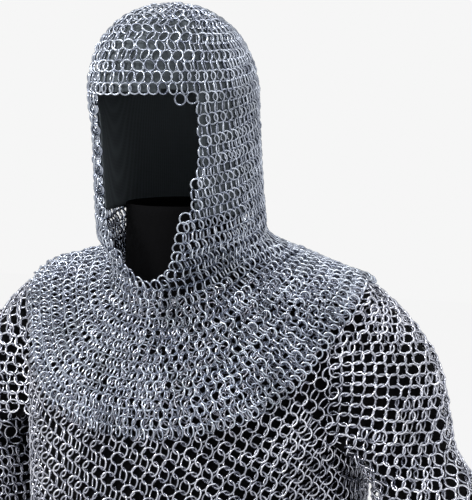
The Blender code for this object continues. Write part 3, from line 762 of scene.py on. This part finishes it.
# %% Rings of the trunk
RING_IN = 2.5 * MM           # the middle of a ring lies this far below the shell's face
ROW_FALL = 11.0              # rows, from the front centre to the side
SHIRT_PITCH = 11.3 * MM
TILTED_STEP, LEVEL_STEP = 1.15, 1.0      # rows from one row to the next, measured down the grid
LEVEL_AFTER = 6              # the row after which the fall fades away
LAST_ROOM = 0.4              # rows, from the last row to the hem
NECK_ROOM, HEM_ROOM = 0.8, 0.2      # rows at the two edges that get no ring
ARM_ROOM = 0.2               # rows below the armpit line that get no ring under the arm


def trunk_rows():
    """The rows of the trunk: base level, fall to the side and pitch."""
    rows, base = [], -YOKE_ROWS - ROW_FALL
    while base < BODY_ROWS - LAST_ROOM:
        fade = min(max((base - LEVEL_AFTER) / (BODY_ROWS - LEVEL_AFTER), 0), 1)
        rows.append((base, ROW_FALL * (1 - fade), SHIRT_PITCH))
        base += TILTED_STEP + (LEVEL_STEP - TILTED_STEP) * fade
    return rows


shirt_grid = trunk.moved(-RING_IN)
shirt_rows = trunk_rows()
spots = lay_rows(shirt_grid, shirt_rows, seed=3, lean_turn=SHIRT_LEAN_TURN)
away, levels = from_front(spots[:, TURN]), spots[:, LEVEL]
between = (away > ARM_START + JUST_IN) & (away < ARM_STOP - JUST_IN)
inside = (levels > -YOKE_ROWS + NECK_ROOM) & (levels < BODY_ROWS - HEM_ROOM)
spots = spots[inside & ~(between & (levels < ARM_ROOM))]
trunk_places, trunk_axes = ring_axes(*frames_on(shirt_grid, spots, shirt_rows, SHIRT_LEAN_TURN),
                                     spots[:, SIGN], spots[:, SPACING], SHIRT_RING, seed=5)
print("trunk rings:", len(trunk_places))

# %% [markdown]
# The shirt is split into a yoke and a chest on each side, and the part below, which only
# hangs.

# %% The pieces of the trunk
ARMPIT_Z = -ARMPIT_DROP
CHEST_END_Z = -350 * MM
WAIST_END_Z = -530 * MM
steel_pieces, coif_pieces = [], []


def part_of_net(name, mask, places, axes, kind, seed, group):
    """One named piece, made of the rings that mask picks, and added to the group of its steel."""
    piece = ring_object(name, places[mask], axes[mask], kind, seed)
    group.append(piece)
    print(name, int(mask.sum()), "rings")
    return piece


height, left_side = trunk_places[:, 2], trunk_places[:, 0] > 0
above, chest = height > ARMPIT_Z, (height <= ARMPIT_Z) & (height > CHEST_END_Z)
trunk_bands = {
    "yoke_rings_left": above & left_side, "yoke_rings_right": above & ~left_side,
    "chest_rings_left": chest & left_side, "chest_rings_right": chest & ~left_side,
    "waist_rings": (height <= CHEST_END_Z) & (height > WAIST_END_Z),
    "skirt_rings": height <= WAIST_END_Z,
}
trunk_pieces = {name: part_of_net(name, mask, trunk_places, trunk_axes, SHIRT_RING, seed, steel_pieces)
                for seed, (name, mask) in enumerate(trunk_bands.items())}

# %% [markdown]
# On the sleeves the slant of the rows has grown to half of a right angle, so each ring hangs
# right below another, and its links lie level and upright. The rings still tilt along the
# slanting row.

# %% Rings of the sleeves
SLEEVE_PITCH = 9.7 * MM
SLANTED_SPACING = 14.0 * MM  # from ring to ring along the slanting row
SLEEVE_FALL = 1.0
FIRST_ROW, TOP_ROOM = 0.5, 0.6      # rows below the neck: the first row, and where rings begin
SLEEVE_ROWS = CAP_ROWS + TUBE_ROWS
sleeve_pieces = {}
for number, (name, grid) in enumerate(sleeves.items()):
    sign = 1 if name == "left" else -1
    net = grid.moved(-RING_IN)
    rows = [(row - CAP_ROWS + FIRST_ROW, SLEEVE_FALL * (1 - row / SLEEVE_ROWS), SLEEVE_PITCH)
            for row in range(SLEEVE_ROWS)]
    spots = lay_rows(net, rows, seed=11 + number, lean_turn=0.0, upright=True)
    virtual = (spots[:, TURN] > HOLLOW_START) & (spots[:, TURN] < CREASE_TURN) & (spots[:, LEVEL] < 0)
    spots = spots[~virtual & (spots[:, LEVEL] > -CAP_ROWS + TOP_ROOM)]
    places, normals, alongs = frames_on(net, spots, rows, 0.0)
    slants = alongs * sign
    slants = unit(slants - np.cross(normals, slants) * sign)
    places, axes = ring_axes(places, normals, slants, spots[:, SIGN],
                             np.full(len(spots), SLANTED_SPACING), SHIRT_RING, seed=21 + number)
    on_shoulder = spots[:, LEVEL] < 0
    for part, mask in (("shoulder_rings_", on_shoulder), ("sleeve_rings_", ~on_shoulder)):
        sleeve_pieces[part + name] = part_of_net(part + name, mask, places, axes, SHIRT_RING,
                                                 seed=31 + number, group=steel_pieces)

# %% [markdown]
# The coif is laid from the crown down, in rows that rise a little towards the back of the head.
# The hood's rings crowd sideways at the cheeks and the back, so that each row reads as a chain
# of upright arcs. Over the forehead and on the mantle they spread. Last comes the face opening:
# the rings inside it are dropped. Its edge over the forehead sags towards the two corners.

# %% Rings of the coif
HOOD_PITCH = 7.2 * MM
MANTLE_PITCH = 8.7 * MM
FOREHEAD_WIDER = 0.55        # the rings over the forehead lie this much further apart
FOREHEAD_TURN = 0.15
COIF_IN = 2.5 * MM
RIM_ROOM = 0.010             # of a turn, between the opening and the first ring
RIM_ROOM_RISE = 60 * MM      # above the level plane; down there the room is gone
CORNER_DROP = 10 * MM        # the edge over the forehead sags towards its two corners
HOOD_LEAN_ROWS = 2.2         # the fall of the rows from the side of the head to the front
LEAN_SHARE = 0.6             # of the hood's rows, over which that fall grows
COIF_FIRST_ROW = 0.6         # rows from the top of the crown
BROW_EDGE_Z = BROW_Z + 6 * MM      # middle of the lowest rings over the forehead
NOTCH_Z = 48 * MM
LEVEL_REACH, LEVEL_STEPS = 40, 0.05      # rows looked through for a height, and their steps


def face_edge(up):
    """Half the width of the face opening, in shares of a turn, from the level plane up."""
    rise = np.sin(np.clip(up / CHEEK_SHARE, 0, 1) * math.pi / 2)
    return FACE_HALF_TURN / (2 * math.pi) * (CHIN_SHARE + (1 - CHIN_SHARE) * rise)


def opening_edge(grid, turns, levels):
    """Half the width of the opening at any ring's height; zero where the coif is closed."""
    height = grid.place(turns, levels)[:, 2]
    on_hood = face_edge((height - NECK_Z) / (CROWN_RISE - NECK_Z))
    way = np.clip((levels - NECK_ROW) / (NOTCH_LEVEL - NECK_ROW), 0, 1)
    on_neck = face_edge(0.0) * (1 - way) ** NOTCH_CURVE_SHARE
    corner = CORNER_DROP * np.clip(from_front(turns) / on_hood, 0, 1) ** 4
    return np.where(levels <= NECK_ROW, on_hood, on_neck) * (height < BROW_EDGE_Z - corner)


def level_at(grid, height, start):
    """The row level at the front where a grid comes down to a height."""
    levels = np.arange(start, start + LEVEL_REACH, LEVEL_STEPS)
    return levels[np.argmax(grid.place(np.zeros(len(levels)), levels)[:, 2] < height)]


def forehead(turns, base):
    """How much wider the rings lie than at the cheeks."""
    fade = 1 - min(max((base - NECK_ROW / 2) / (NECK_ROW / 2), 0), 1)
    return 1 + FOREHEAD_WIDER * fade * np.exp(-(from_front(turns) / FOREHEAD_TURN) ** 2)


coif_net = coif.moved(-COIF_IN)
NOTCH_LEVEL = level_at(coif_net, NOTCH_Z, NECK_ROW)
coif_rows = []
for row in range(EDGE_ROW):
    landed = min(max((row - NECK_ROW) / (LAND_ROW - NECK_ROW), 0), 1)
    lean = min(row / (NECK_ROW * LEAN_SHARE), 1, (EDGE_ROW - row) / (EDGE_ROW - NECK_ROW))
    coif_rows.append((row + COIF_FIRST_ROW, HOOD_LEAN_ROWS * lean,
                      HOOD_PITCH + (MANTLE_PITCH - HOOD_PITCH) * landed))
spots = lay_rows(coif_net, coif_rows, seed=41, lean_turn=COIF_LEAN_TURN, wider=forehead)
edge = opening_edge(coif_net, spots[:, TURN], spots[:, LEVEL])
rise = coif_net.place(spots[:, TURN], spots[:, LEVEL])[:, 2] - NECK_Z
room = RIM_ROOM * np.clip(rise / RIM_ROOM_RISE, 0, 1)
spots = spots[(edge == 0) | (from_front(spots[:, TURN]) > edge + room)]
coif_places, coif_axes = ring_axes(*frames_on(coif_net, spots, coif_rows, COIF_LEAN_TURN),
                                   spots[:, SIGN], spots[:, SPACING], COIF_RING, seed=43)
levels = spots[:, LEVEL]
coif_bands = {
    "crown_rings": levels < NECK_ROW / 2,
    "hood_rings": (levels >= NECK_ROW / 2) & (levels < NECK_ROW),
    "neck_rings": (levels >= NECK_ROW) & (levels < LAND_ROW),
    "mantle_rings": levels >= LAND_ROW,
}
coif_parts = {name: part_of_net(name, mask, coif_places, coif_axes, COIF_RING, seed, coif_pieces)
              for seed, (name, mask) in enumerate(coif_bands.items(), start=51)}

# %% [markdown]
# A row of rings closes the raw edges of the notch under the chin and of the neck of the shirt.
# The rings of such a row lie almost flat along the edge, so that the eye reads it as one line.
# Beside the face the rows of the hood simply end.

# %% Rows along the edges
FLAT_SPACING = 1.3           # of a ring's diameter; rings so far apart lie almost flat
EDGE_PITCH = 9.4 * MM
RIM_SAMPLES = 80
RIM_ROWS_UP = 2.0            # the row starts this far above the level plane
FRONT_TURN = 0.01            # beside the front, inside the opening at every level
NECK_EDGE_LEVEL = 1.2        # rows of the yoke's finer grid, of two steps each


def edge_row(name, points, outwards, pitch, kind, seed, group):
    """Rings along a curve; points is open, or closed when its ends meet."""
    length = running(steps_of(points))
    count = round(length[-1] / pitch)
    marks = (np.arange(count) + 0.5) / count * length[-1]
    ahead, behind = (read_line(marks + way, length, points) for way in (pitch / 4, -pitch / 4))
    places, axes = ring_axes(read_line(marks, length, points), unit(read_line(marks, length, outwards)),
                             unit(ahead - behind), np.ones(count),
                             np.full(count, kind.outer * FLAT_SPACING), kind, seed)
    piece = ring_object(name, places, axes, kind, seed + 1)
    group.append(piece)
    print(name, count, "rings")
    return piece


rim_levels = np.linspace(NECK_ROW - RIM_ROWS_UP, NOTCH_LEVEL, RIM_SAMPLES)
rim_turns = opening_edge(coif_net, np.full(RIM_SAMPLES, FRONT_TURN), rim_levels - JUST_IN)
rim_points, rim_outwards = (
    np.concatenate((read(rim_turns, rim_levels), read(-rim_turns, rim_levels)[::-1]))
    for read in (coif_net.place, coif_net.outward))
coif_parts["notch_edge_rings"] = edge_row("notch_edge_rings", rim_points, rim_outwards, EDGE_PITCH,
                                          COIF_RING, seed=61, group=coif_pieces)
neck_net = yoke_fine.moved(-RING_IN)
neck_levels = np.full(COLUMNS + 1, NECK_EDGE_LEVEL)
trunk_pieces["neck_edge_rings"] = edge_row("neck_edge_rings", neck_net.place(FINE, neck_levels),
                                           neck_net.outward(FINE, neck_levels), SHIRT_PITCH,
                                           SHIRT_RING, seed=63, group=steel_pieces)

# %% [markdown]
# Under the mail lies cloth: a thin black tunic with short sleeves and a standing collar, and a
# grey cap. The cloth is the same grids again, moved further in, so it follows the mail at an
# even distance. Solidify gives it its thickness, and its mesh is then made final.

# %% Cloth from a grid
TUNIC_BELOW = 8.8 * MM
SLEEVE_CLOTH_BELOW = 7.6 * MM
CAP_BELOW = 7.6 * MM
CLOTH_THICK = 1.2 * MM
cloth_pieces = {}


def cloth_object(name, points, keep):
    """A thin sheet through a grid of points; keep says which cells are cloth."""
    lines, columns = points.shape[:2]
    number = np.arange(lines * columns).reshape(lines, columns)
    beside = np.roll(number, -1, 1)
    quads = np.stack((number[:-1], number[1:], beside[1:], beside[:-1]), -1)[keep]
    used, quads = np.unique(quads, return_inverse=True)
    mesh = bpy.data.meshes.new(name)
    mesh.from_pydata(points.reshape(-1, 3)[used].tolist(), [], quads.reshape(-1, 4).tolist())
    mesh.shade_smooth()
    obj = bpy.data.objects.new(name, mesh)
    bpy.context.scene.collection.objects.link(obj)
    solid = obj.modifiers.new("thickness", "SOLIDIFY")
    solid.thickness = CLOTH_THICK
    solid.offset = 0
    bpy.context.view_layer.update()
    final = bpy.data.meshes.new_from_object(obj.evaluated_get(bpy.context.evaluated_depsgraph_get()))
    obj.modifiers.clear()
    obj.data = final
    around = np.linalg.norm(np.roll(points, -1, 1) - points, axis=2)[:-1]
    long = (steps_of(points) * keep).sum(axis=0).max()
    cloth_pieces[name] = obj


def cell_heights(points):
    """The height of the middle of every cell of a closed grid."""
    here, beside = points[..., 2], np.roll(points[..., 2], -1, 1)
    return (here[:-1] + here[1:] + beside[:-1] + beside[1:]) / 4


def cells_above(points, rows):
    """Which lines of cells lie above a row, counted from the grid's first line."""
    return (np.arange(len(points) - 1) < rows * HALF_ROWS)[:, None]


CELL_TURNS = (TURNS + 0.5 / COLUMNS)[None, :]
cells_away = from_front(CELL_TURNS)

# %% The tunic
TUNIC_END_Z = -ARMPIT_DROP - (HEM_DROP - ARMPIT_DROP) * 0.96      # a little above the hem
tunic = trunk.moved(-TUNIC_BELOW).points
heights = cell_heights(tunic)
under_arm = (cells_away > ARM_START) & (cells_away < ARM_STOP)
yoke_cells = cells_above(tunic, YOKE_ROWS)
chest_cells = ~yoke_cells & (heights > CHEST_END_Z)
for half, name in ((CELL_TURNS < 0.5, "left"), (CELL_TURNS >= 0.5, "right")):
    cloth_object("tunic_yoke_" + name, tunic, yoke_cells & ~under_arm & half)
    cloth_object("tunic_chest_" + name, tunic, chest_cells & half)
cloth_object("tunic_skirt", tunic, ~yoke_cells & ~chest_cells & (heights > TUNIC_END_Z))

hollow_cells = (np.arange(COLUMNS) == round(COLUMNS * CREASE_TURN) - 1)[None, :]
every_cell = np.ones((1, COLUMNS), bool)
for name, grid in sleeves.items():
    cloth = grid.moved(-SLEEVE_CLOTH_BELOW).points
    on_shoulder, in_sleeve = cells_above(cloth, CAP_ROWS), cells_above(cloth, SLEEVE_ROWS - 1)
    cloth_object("tunic_shoulder_" + name, cloth, on_shoulder & ~hollow_cells)
    cloth_object("tunic_arm_" + name, cloth, ~on_shoulder & in_sleeve & every_cell)

# %% [markdown]
# The cap follows the hood and leaves the face open, with its edge a little further back and
# higher than the edge of the rings. The collar of the tunic stands up inside the neck of the
# coif. It is a tube from a line of the tunic up to an oval round the neck.

# %% Cap and collar
CAP_FOOT_ROWS = 1.5          # above the level plane
RIM_TURN = 0.020             # of a turn, from the face opening's edge back to the cap's
COLLAR_HALF = 54 * MM
COLLAR_DEEP = 56 * MM
COLLAR_SHIFT_X = -9 * MM
COLLAR_SHIFT_Y = -22 * MM
COLLAR_TOP = NECK_Z + 22 * MM
COLLAR_LINES = 12
SEAM_LINE = 1                # the line of the tunic that the collar stands on
CAP_BROW_RISE = 11 * MM

cap = coif.moved(-CAP_BELOW).points
heights = cell_heights(cap)
open_face = face_edge((heights - NECK_Z) / (CROWN_RISE - NECK_Z)) + RIM_TURN
open_face = open_face * (heights < BROW_Z + CAP_BROW_RISE)
cloth_object("arming_cap", cap, cells_above(cap, NECK_ROW - CAP_FOOT_ROWS) & (cells_away > open_face))

angle = 2 * math.pi * TURNS
foot = tunic[SEAM_LINE]
top = np.stack((COLLAR_SHIFT_X + COLLAR_HALF * np.sin(angle),
                COLLAR_SHIFT_Y - COLLAR_DEEP * np.cos(angle), np.full(COLUMNS, COLLAR_TOP)), axis=1)
way = np.linspace(1, 0, COLLAR_LINES)[:, None, None]
tuck = way ** 0.5            # the collar closes in on the neck right above its seam
collar = np.concatenate((foot[:, :2] * (1 - tuck) + top[:, :2] * tuck,
                         foot[:, 2:] * (1 - way) + top[:, 2:] * way), axis=2)
cloth_object("tunic_collar_cloth", collar, np.ones((COLLAR_LINES - 1, COLUMNS), bool))

# %% [markdown]
# The rings are zinc-plated steel wire. Zinc gives the eye a bright metal with a slight blue
# cast, softer than polished steel. Every ring has its own tone, because each coil of wire is
# plated a little differently, and rubbing dulls the outside of the net in patches of a few
# centimetres. Roughness varies with the grain of the zinc. Real grains are far below a
# millimetre wide, so they are drawn as coarse as they need to be to show.

# %% Zinc-plated steel
PATCH = 35 * MM
GRIT = 1.2 * MM


def plated_steel(name, dark, bright, dull, roughness):
    """Zinc on steel wire: a tone for each ring, dull patches and a fine grain of zinc crystals."""
    material, shader = new_material(name, {"Metallic": 1.0})
    tone = add_node(material, "ShaderNodeAttribute", {"attribute_name": "ring_tone"})
    place = add_node(material, "ShaderNodeTexCoord")
    patches = add_node(material, "ShaderNodeTexNoise", {"Scale": 1 / PATCH, "Detail": 3.0},
                       {"Vector": place.outputs["Object"]})
    crystals = add_node(material, "ShaderNodeTexNoise", {"Scale": 1 / GRIT, "Detail": 1.0},
                        {"Vector": place.outputs["Object"]})
    plated = add_node(material, "ShaderNodeMix",
                      {"data_type": "RGBA", "A": linear(dark), "B": linear(bright)},
                      {"Factor": tone.outputs["Fac"]})
    worn = add_node(material, "ShaderNodeMapRange", {"From Min": 0.5, "From Max": 0.72, "To Max": 0.6},
                    {"Value": patches.outputs["Fac"]})
    color = add_node(material, "ShaderNodeMix", {"data_type": "RGBA", "B": linear(dull)},
                     {"Factor": worn.outputs["Result"], "A": plated.outputs["Result"]})
    rough = add_node(material, "ShaderNodeMapRange",
                     {"To Min": roughness - 0.08, "To Max": roughness + 0.10},
                     {"Value": crystals.outputs["Fac"]})
    bump = add_node(material, "ShaderNodeBump", {"Strength": 0.15, "Distance": 0.1 * MM},
                    {"Height": crystals.outputs["Fac"]})
    link(material, shader, {"Base Color": color.outputs["Result"], "Roughness": rough.outputs["Result"],
                            "Normal": bump.outputs["Normal"]})
    return material


shirt_steel = plated_steel("zinc_plated_steel_shirt", "9ea1ad", "dcdee8", "8d8f97", 0.20)
coif_steel = plated_steel("zinc_plated_steel_coif", "8c92a1", "ccd3df", "7e8489", 0.22)
for pieces, steel, slot in ((steel_pieces, shirt_steel, "shirt_rings"),
                            (coif_pieces, coif_steel, "coif_rings")):
    for piece in pieces:
        piece.data.materials.append(steel)
print(len(steel_pieces), "pieces of shirt steel,", len(coif_pieces), "of coif steel")

# %% [markdown]
# The tunic is black cotton in a plain weave, the cap grey linen. A plain weave has threads of
# about half a millimetre; here it is drawn at 1.4 mm, as coarse as it needs to be to show at
# all. Cloth has next to no shine.

# %% Woven cloth
THREAD = 1.4 * MM
WAVE_REPEAT = math.pi / 10   # scale at which a wave texture repeats once a metre


def woven(name, shaded_depth, thread_top, roughness):
    """Cloth of crossing threads: the thread tops get the second colour, the cloth's own, and the depths
    between them the first, darker colour as painted shade.
    """
    material, shader = new_material(name, {"Roughness": roughness, "Specular IOR Level": 0.1})
    place = add_node(material, "ShaderNodeTexCoord")
    threads = [add_node(material, "ShaderNodeTexWave",
                        {"wave_type": "BANDS", "bands_direction": direction, "Distortion": 0.6,
                         "Scale": WAVE_REPEAT / THREAD}, {"Vector": place.outputs["Object"]})
               for direction in ("X", "Z")]
    weave = add_node(material, "ShaderNodeMath", {"operation": "MAXIMUM"},
                     {0: threads[0].outputs["Fac"], 1: threads[1].outputs["Fac"]})
    color = add_node(material, "ShaderNodeMix",
                     {"data_type": "RGBA", "A": linear(shaded_depth), "B": linear(thread_top)},
                     {"Factor": weave.outputs["Value"]})
    bump = add_node(material, "ShaderNodeBump", {"Strength": 0.4, "Distance": 0.3 * MM},
                    {"Height": weave.outputs["Value"]})
    link(material, shader, {"Base Color": color.outputs["Result"], "Normal": bump.outputs["Normal"]})
    return material


# Each cloth's first colour is painted shade in the depths of its weave, the second its thread tops.
black_cotton = woven("black_cotton", "040405", "0b0b0d", 0.95)
grey_linen = woven("grey_linen", "50575b", "666d72", 0.92)
for name, piece in cloth_pieces.items():
    piece.data.materials.append(grey_linen if name == "arming_cap" else black_cotton)

# %% [markdown]
# Most pieces ride on a body of the frame: the sleeves and the tunic's arms on the arms, the cap
# and the crown on the hood, the mantle on its own body, and the waist, skirt, neck edge and the
# tunic's skirt and collar on the haubergeon. The yokes, chests and shoulders, and the hood's
# sides, neck and notch edge, stay fixed where they lie.

for name, piece in [*trunk_pieces.items(), *sleeve_pieces.items(), *cloth_pieces.items()]:
    side = "left" if name.endswith("left") else "right"
    sign = 1 if side == "left" else -1
    if "sleeve_rings" in name or "tunic_arm" in name:
        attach(piece, "sleeve_" + side)
    elif name.startswith(("yoke_rings", "tunic_yoke", "shoulder_rings", "tunic_shoulder")):
        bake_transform(piece)
    elif name.startswith(("chest_rings", "tunic_chest")):
        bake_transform(piece)
    elif name == "arming_cap":
        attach(piece, "hood")
    else:
        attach(piece, "haubergeon")

for name, piece in coif_parts.items():
    if name == "crown_rings":
        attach(piece, "hood")
    elif name == "mantle_rings":
        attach(piece, "mantle")
    else:
        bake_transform(piece)

# %% [markdown]
# The pieces take the place of the smooth solids in the frame. Where several pieces cover one
# solid, the solid is named at one of them only.

# %% Which solids the pieces stand for
stands_for = {
    "yoke_rings_left": ["yoke_front", "yoke_back"], "neck_edge_rings": ["neck_edge_row"],
    "chest_rings_left": ["chest_front", "flank_left"], "chest_rings_right": ["chest_back", "flank_right"],
    "waist_rings": ["skirt_front", "skirt_back", "skirt_left", "skirt_right"], "skirt_rings": ["hem_row"],
    "shoulder_rings_left": ["shoulder_left", "sleeve_cap_left"],
    "shoulder_rings_right": ["shoulder_right", "sleeve_cap_right"],
    "sleeve_rings_left": ["sleeve_left", "cuff_row_left"],
    "sleeve_rings_right": ["sleeve_right", "cuff_row_right"],
    "crown_rings": ["hood_crown", "hood_brow"],
    "hood_rings": ["hood_side_left", "hood_side_right", "hood_back", "face_edge_left", "face_edge_right"],
    "neck_rings": ["neck_left", "neck_right", "neck_back", "neck_base"],
    "mantle_rings": ["mantle_front", "mantle_left", "mantle_back", "mantle_right", "mantle_edge_row"],
    "tunic_yoke_left": ["tunic_yoke"], "tunic_skirt": ["tunic_body"], "tunic_collar_cloth": ["tunic_collar"],
    "tunic_arm_left": ["tunic_sleeve_left"], "tunic_arm_right": ["tunic_sleeve_right"],
    "arming_cap": ["cap_crown", "cap_sides"],
}
for name, nodes in stands_for.items():
    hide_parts(*nodes)
